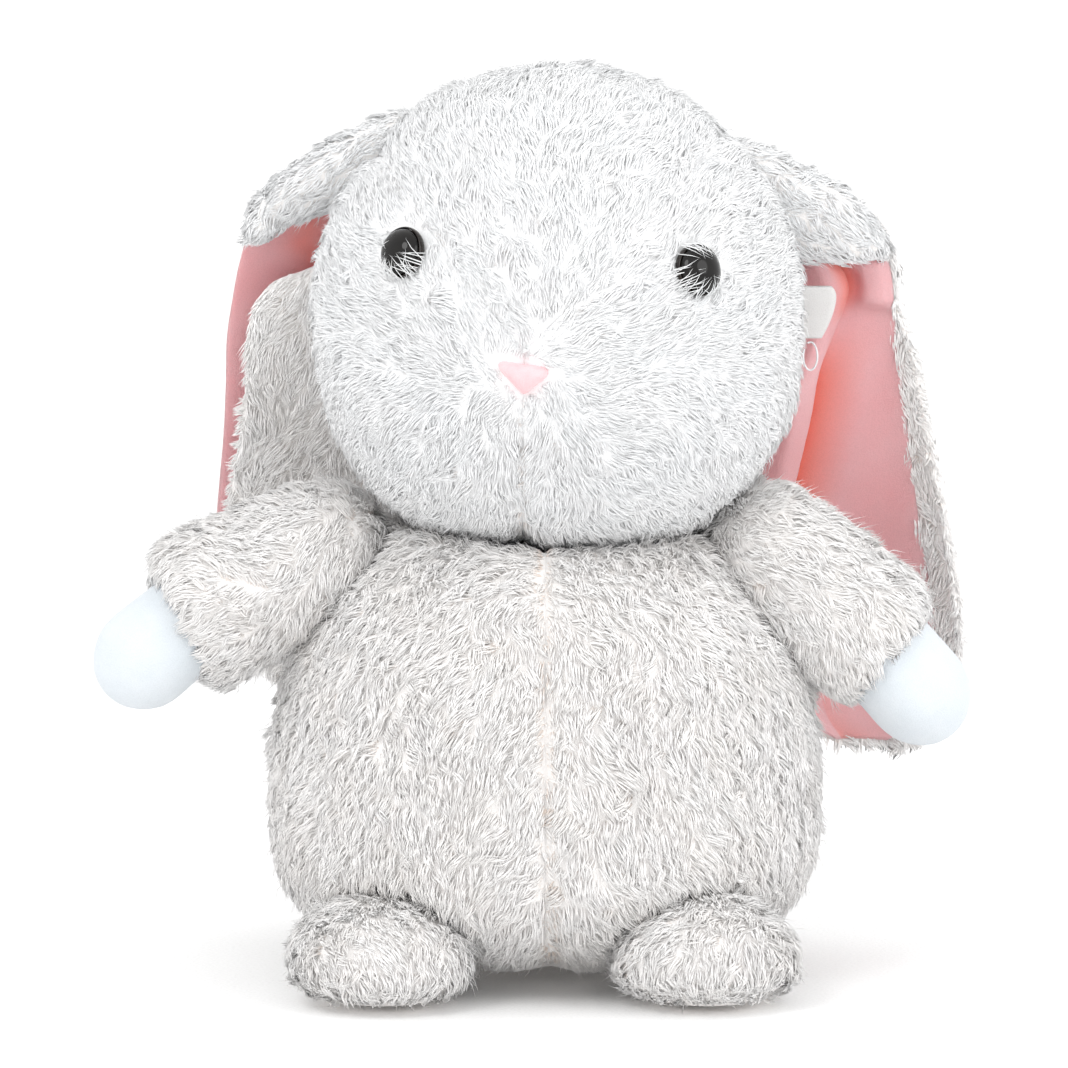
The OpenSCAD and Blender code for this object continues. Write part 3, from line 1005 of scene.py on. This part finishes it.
def left_ear_cloth():
    """The left ear is cupped, and its lining folds over itself in a flap beside the cheek."""
    rows, columns = 120, 64
    depth = np.linspace(45, 218, rows)
    inner, fold, outer = columns_of(LINING_LEFT, depth)
    flap = 9 - 4 * step(90, 130, depth) - 4.2 * step(140, 175, depth)
    pouch = 5.5 * step(44, 55, depth) * (1 - step(65, 71, depth))
    tuck = np.clip((fold - inner) / 8, 0.15, 1)
    main = outer - fold
    # Place across, shift from it, and height over the plush
    line = [(inner, 0, 0.6 + 0.4 * flap), ((inner + fold) / 2, 0, 1.4 + flap),
            (fold, -2 * tuck, 0.6 + flap), (fold, 0, 0.7 * flap),
            (fold, -2.6 * tuck, 1.8 + 0.1 * flap),
            (fold + 0.12 * main, 0, 0.8 + 0.2 * pouch), (fold + 0.4 * main, 0, 0.8 + pouch),
            (fold + 0.75 * main, 0, 1.0 + 0.9 * pouch), (outer, 0, 1.4 + 0.2 * pouch)]
    cross = sections(np.stack([np.stack([x + shift, ear_wall(x) - rise], -1)
                               for x, shift, rise in line], 1), columns)
    flat = np.stack([cross[..., 0], 0 * cross[..., 0], between(depth, depth, columns)], -1)
    cross[..., 1] -= 0.5 * swirl(flat.reshape(-1, 3), 24, 7).reshape(rows, columns)
    # Painted shade: coral in the valley just past the fold, less toward the tip, and in the crease
    # beside the pouch.
    past = cross[..., 0] - fold[:, None]
    share = np.linspace(0, 1, columns)
    painted_fold_shade = np.where(share > 0.3, np.clip(1 - past / 17, 0, 1) ** 1.3, 0.0)
    painted_fold_shade *= step(72, 96, depth)[:, None] * (1 - 0.5 * step(150, 200, depth)[:, None])
    painted_crease_shade = 0.75 * near(past, 3) * (share > 0.25) * (1 - step(62, 76, depth))[:, None]
    return ear_world("left", cross[..., 0], cross[..., 1], depth[:, None]), np.maximum(painted_fold_shade, painted_crease_shade)


def right_ear_line(depth, offset, columns):
    """The right ear's sections: it is folded lengthwise, with its fold beside the head."""
    fold, front, back = columns_of(RIGHT, depth)
    open_by = np.clip((front - fold) / 12, 0.12, 1)
    rear = 4.5 + offset
    fore = -(5.5 * open_by + offset)
    turn_x = fold - offset
    line = [(back, rear - 1.0), (fold + 0.72 * (back - fold), rear + 0.6),
            (fold + 0.35 * (back - fold), rear + 0.4), (turn_x + 3 * open_by, rear - 0.8),
            (turn_x, (rear + fore) / 2), (turn_x + 3 * open_by, fore + 0.8),
            (fold + 0.4 * (front - fold), fore - 0.6 * open_by),
            (fold + 0.75 * (front - fold), fore - 0.3 * open_by), (front, fore + 2.2 * open_by)]
    return sections(np.stack([np.stack([x, y + 0 * depth], -1) for x, y in line], 1), columns)


def open_skin(points, facing, offset=0.0, columns=None):
    """A sheet to plant on, moved out by "offset". Its first columns face toward "facing"."""
    bm = grid(points)
    bmesh.ops.recalc_face_normals(bm, faces=bm.faces)
    bm.normal_update()
    ways = np.array([v.normal for v in bm.verts])
    if ways.reshape(points.shape)[:, :columns].mean((0, 1)) @ np.array(facing) < 0:
        bmesh.ops.reverse_faces(bm, faces=bm.faces)
        ways = -ways
    set_coords(bm, coords(bm) + ways * offset)
    return bm


def plant_ear(side, kind, skin, seed, length, material="cream_pile", **how):
    """Pile that hangs a little outward. Behind, near the edge, it is shorter and leans in."""
    def from_edge(local):
        return columns_of(OUTLINE[side], -local[:, 2])[-1] - local[:, 0]

    def comb(p, n):
        edge = near(from_edge(ear_local(side, p)), 7) * (n[:, 1] > 0)
        return np.stack([SIDES[side] * (0.25 - 1.5 * edge), 0 * edge, -1 + 0 * edge], -1)

    def shorter(p):
        local = ear_local(side, p)
        behind = (local[:, 1] > 2.0) | (side == "left")
        return length * (1 - 0.35 * near(from_edge(local), 4) * behind)

    pile(f"ear_{kind}_{side}_pile", f"ear_{side}", "body_plush", material, skin, comb, shorter,
         seed, **how)


def plant_sheet(side, kind, points, seed, length, **how):
    """Pile on a part of the ear that faces forward."""
    bm = open_skin(points, (0, -1, 0))
    plant_ear(side, kind, outer_arrays(bm), seed, length, **how)
    bm.free()


def fringe(name, side, line, outward, facing, length, seed, each=0.35):
    """Pile along an edge, from points in the rabbit's frame, pointing outward over the edge."""
    draw = np.random.default_rng(seed)
    steps = np.linalg.norm(np.diff(line, axis=0), axis=1)
    far = np.concatenate([[0], np.cumsum(steps)])
    at = np.sort(draw.uniform(0, far[-1], int(far[-1] / each * 2)))
    roots = np.stack([np.interp(at, far, line[:, k]) for k in range(3)], -1)
    out = unit(np.stack([np.interp(at, far, outward[:, k]) for k in range(3)], -1))
    ways = np.broadcast_to(unit(np.array(facing, float)), roots.shape).copy()
    roots = roots - out * draw.uniform(0, 2.2, (len(at), 1)) + draw.normal(0, 0.25, roots.shape)
    pile(name, f"ear_{side}", "body_plush", "cream_pile", (roots, ways),
         lambda p, n: out + np.array([0, 0, -1.0]), length, seed, lift=(34, -8), draw_in=0.5,
         clump=9)


def ear_cover(side, bm, thickness):
    name = f"ear_plush_{side}"
    return cover(name + "_cover", bm, thickness, f"ear_{side}", (name,), 0.2)


def lining_piece(side, points, painted_fold_shade):
    bm = grid(points)
    # Painted shade of the lining's folds and creases, kept on each point for its colour.
    layer = bm.verts.layers.float.new("painted_fold_shade")
    for v, value in zip(bm.verts, painted_fold_shade.ravel()):
        v[layer] = value
    thicken(bm, 0.9)
    piece = bm_object(f"ear_lining_{side}_cloth", bm, "lining")
    place(piece, f"ear_{side}", "ear_satin", (f"ear_lining_{side}",))


def make_left_ear():
    depth = np.linspace(38, 221, 92)
    down = depth[:, None]
    inner, outer = columns_of(PLUSH_LEFT, depth)
    x = between(inner, outer, 40)
    roll = 20 * np.clip(np.linspace(0, 1, 40) - 0.9, 0, 1)
    sheet = ear_world("left", x, ear_wall(x) + 0.6 - roll, down)
    skin = ear_cover("left", open_skin(sheet, (0, 1, 0), 2.8), 2.6)
    plant_ear("left", "back", skin, 100, 5.0, lift=(38, 6))
    ends, outward = sheet[:, -1], sheet[:, -1] - sheet[:, -6]
    fringe("ear_edge_left_pile", "left", ends, outward, (0.5, -1, 0), 4.6, 103, each=0.16)
    fringe("ear_back_edge_left_pile", "left", ends + [0, 3, 0], outward, (1, 0.3, 0), 4.6, 104,
           each=0.2)
    edge = columns_of(LINING_LEFT, np.clip(depth, 45, 218))[-1]
    rim_x = between(edge - 1.5, outer, 8)
    rim = ear_world("left", rim_x, ear_wall(rim_x) - 0.4, down)
    plant_sheet("left", "rim", rim[3:], 101, 5.2)
    plant_sheet("left", "tip", ear_world("left", x, ear_wall(x) - 0.6, down)[89:], 102, 5.0)
    lining_piece("left", *left_ear_cloth())


def make_right_ear():
    rows, columns = 120, 72
    depth = np.linspace(26, 213, 100)
    plush = right_ear_line(depth, 1.6, columns)
    sheet = ear_world("right", plush[..., 0], plush[..., 1], depth[:, None])
    skin = ear_cover("right", open_skin(sheet, (0, 1, 0), 1.0, 20), 2.0)
    plant_ear("right", "fur", skin, 110, 6.4)
    ends = sheet[18:, -1]
    fringe("ear_edge_right_pile", "right", ends, ends - sheet[18:, -6], (0, -1, 0), 4.2, 112)
    back = columns_of(RIGHT, depth)[-1]
    rim_x = between(back - 6, back, 8)
    plant_sheet("right", "rim", ear_world("right", rim_x, 3.6 + 0 * rim_x, depth[:, None])[:14],
                111, 5.0, material="head_pile")
    depth = np.linspace(28, 211, rows)
    cross = right_ear_line(depth, 0.0, columns)
    pinch_x = cross[..., 0] - 14.5
    pinch_d = depth[:, None] - 39 + 0.25 * pinch_x
    cross[..., 1] += 2.4 * near(pinch_x, 4.5) * near(pinch_d, 1.3)
    # Painted shade: coral down the middle fold of the lining and in the pinch near its root.
    along = np.linspace(0, 1, columns)
    painted_fold_shade = np.maximum(0.55 * near(along - 0.5, 0.16),
                      0.7 * near(pinch_x, 4) * near(pinch_d, 1.4) * (along < 0.5))
    lining_piece("right", ear_world("right", cross[..., 0], cross[..., 1], depth[:, None]), painted_fold_shade)


def make_hood(side):
    """Cushion over an ear's root, between the head and the ear."""
    rows = np.array(HOOD[side], float)
    at = np.linspace(0, len(rows) - 1, 40)
    z, inner, outer, middle_y, half = (spline(np.arange(len(rows)), rows[:, k], at)[:, None]
                                       for k in range(5))
    rear = 2.8 * (1 - step(252, 268, z))
    turn = np.linspace(0, 2 * math.pi, 56, endpoint=False)
    wide, tall = np.cos(turn), np.sin(turn)
    x = (inner + outer) / 2 + (outer - inner) / 2 * np.sign(wide) * np.abs(wide) ** 0.8
    y = middle_y + rear + (half + rear) * tall
    points = np.stack([SIDES[side] * x, y, z + 0 * x], -1)
    ends = [points[k].mean(0) + (points[k] - points[k].mean(0)) * 0.01 for k in (0, -1)]
    bm = grid(np.stack([ends[0], *points, ends[1]]), closed=True)
    bmesh.ops.remove_doubles(bm, verts=bm.verts, dist=0.4)
    bmesh.ops.recalc_face_normals(bm, faces=bm.faces)
    moved = coords(bm)
    moved += 0.8 * swirl(moved, 22, 150)[:, None] * unit(moved - moved.mean(0))
    set_coords(bm, moved)
    skin = outer_arrays(bm)
    sign = SIDES[side]
    x_in, z_in, x_out, z_out = HOOD_BEND[side]
    both = ("head", f"ear_{side}", (sign * x_in * MM, 0.008, z_in * MM),
            (sign * x_out * MM, 0.015, z_out * MM))
    place(bm_object(f"ear_hood_{side}_cover", bm, "backing"), both, "body_plush", (), 0.6)
    pile(f"ear_hood_{side}_pile", both, "body_plush", "head_pile", skin,
         lambda p, n: np.array([0.75 * sign, 0.0, -0.75]) + n * 0, 5.4, 120 + (side == "left"),
         lift=(38, 8), draw_in=0.5)


def make_ears():
    for side in SIDES:
        make_hood(side)
    make_left_ear()
    make_right_ear()


def make_eye_hairs():
    """White hairs of the pile that fall across the moulded eyes."""
    for side, angles in (("left", ((105, 25, 16), (225, 32, 26), (320, 20, 8))),
                         ("right", ((250, 30, 34), (160, 28, 20), (330, 22, 20)))):
        draw = np.random.default_rng(170 + SIDES[side])
        basis, centre = eye_frame(side)
        turn = np.radians(np.concatenate([draw.normal(a, spread, n) for a, spread, n in angles]))
        count = len(turn)
        way = np.stack([np.cos(turn), np.sin(turn)], 1)
        skew = turn + draw.normal(0, 0.45, count)
        aim = -np.stack([np.cos(skew), np.sin(skew)], 1)
        reach = draw.uniform(3.0, 8.5, (count, 1))
        start = way * draw.uniform(8.8, 10.2, (count, 1))
        flat = [start, start + aim * reach * 0.5, start + aim * reach]
        tall = [np.full(count, 0.0), draw.uniform(3.8, 4.8, count), draw.uniform(5.6, 6.6, count)]
        low, mid, tip = (np.column_stack([f, t]) @ basis.T + centre for f, t in zip(flat, tall))
        ways = np.broadcast_to(basis[:, 2], low.shape).copy()
        tone = draw.uniform(0.5, 0.9, count)
        place(strands(f"eye_hairs_{side}", "head_pile", low, mid, tip, ways,
                      np.full(count, 0.17), tone, draw), "head", "head_plush")


def make_label():
    """A ribbon folded double, with its fold outwards, and a clear loop below it."""
    low, high = box_mm("seam_label")
    out, height = high[0] - low[0], high[2] - low[2]
    # The ribbon's section as shares: out from the seam, and across its two layers
    path = np.array([[0, 0], [0.3, -0.15], [0.6, -0.2], [0.9, -0.1], [1.0, 0.45], [0.9, 1.0],
                     [0.6, 1.15], [0.3, 1.1], [0.0, 1.0]])
    columns = 41
    at = np.linspace(0, len(path) - 1, columns)
    across = np.stack([spline(np.arange(len(path)), path[:, k], at) for k in (0, 1)], -1)
    rows = []
    heights = np.linspace(0, 1, 18)
    # It reaches less far toward its lower end, and its upper corner is turned in
    reaches = 1 - 0.4 * (1 - heights) ** 2 - 0.16 * heights ** 10
    for z, reach in zip(heights, reaches):
        bend = 0.6 * math.sin(3 * z) * across[:, 0]
        rows.append(np.column_stack([low[0] - 1 + (out + 1) * reach * across[:, 0],
                                     low[1] - 0.3 + 1.6 * across[:, 1] + bend,
                                     np.full(columns, low[2] + height * z)]))
    bm = grid(np.array(rows))
    thicken(bm, 0.3)
    ribbon = bm_object("seam_label_ribbon", bm, "ribbon")
    place(ribbon, "head", "label_ribbon", ("seam_label",))
    turn = np.linspace(-0.4, 2 * math.pi - 1.0, 40)
    centre = np.array([low[0] + 3.0, low[1] + 0.6, low[2] - 6.0])
    line = np.column_stack([centre[0] + 2.3 * np.sin(turn), centre[1] + 0.5 * np.cos(2 * turn),
                            centre[2] + 4.6 * np.cos(turn)])
    curve = bpy.data.curves.new("tag_loop", "CURVE")
    curve.dimensions = "3D"
    curve.bevel_depth = 0.32 * MM
    curve.bevel_resolution = 3
    curve.use_fill_caps = True
    spline_of = curve.splines.new("POLY")
    spline_of.points.add(len(line) - 1)
    for point, where in zip(spline_of.points, line):
        point.co = (*(where * MM), 1)
    place(new_object("tag_loop", curve, "clear"), "head", "washer_plastic")


make_head()
make_eyes()
make_eye_hairs()
make_nose()
make_body()
make_arms()
make_feet()
make_tail()
make_ears()
make_label()

# ---- Floor, light and camera ----
floor_mesh = bpy.data.meshes.new("floor")
floor_mesh.from_pydata([(-6, -6, 0), (6, -6, 0), (6, 6, 0), (-6, 6, 0)], [], [(0, 1, 2, 3)])
cloth_material("floor", (0.955, 0.955, 0.955), (0.96, 0.96, 0.96), 3.0, 900.0, 0.9, 0.0)
new_object("floor", floor_mesh, "floor")

world = bpy.data.worlds.new("studio")
scene.world = world
world.use_nodes = True
set_sockets(world.node_tree.nodes["Background"], {"Color": (1, 1, 1, 1), "Strength": 1.2})


LIT = Vector((0, 0, 0.15))  # what both lamps point at


def area_light(name, start, size, power):
    light = bpy.data.lights.new(name, "AREA")
    light.shape = "DISK"
    light.size = size
    light.energy = power
    lamp = linked(name, light)
    lamp.location = start
    lamp.rotation_euler = (LIT - Vector(start)).to_track_quat("-Z", "Y").to_euler()


area_light("key", (-0.9, -1.3, 1.6), 0.9, 9)
area_light("fill", (1.4, -1.0, 0.9), 1.2, 7)

LENS, SENSOR = 400.0, 36.0  # millimetres
WIDTH = 0.347  # metres across the picture, at the rabbit
TILT = 8.0  # degrees that the camera looks down
AIM_X, AIM_Z = -0.0036, 0.1425
tilt = math.radians(TILT)
target = Vector((AIM_X, 0, AIM_Z / math.cos(tilt)))
distance = WIDTH * LENS / SENSOR
camera_data = bpy.data.cameras.new("camera")
camera_data.lens = LENS
camera_data.sensor_width = SENSOR
camera = linked("camera", camera_data)
camera.location = target + Vector((0, -math.cos(tilt), math.sin(tilt))) * distance
camera.rotation_euler = (math.radians(90) - tilt, 0, 0)
scene.camera = camera
scene.view_settings.view_transform = "Standard"
scene.cycles.diffuse_bounces = 10  # light passes many times between white fibres
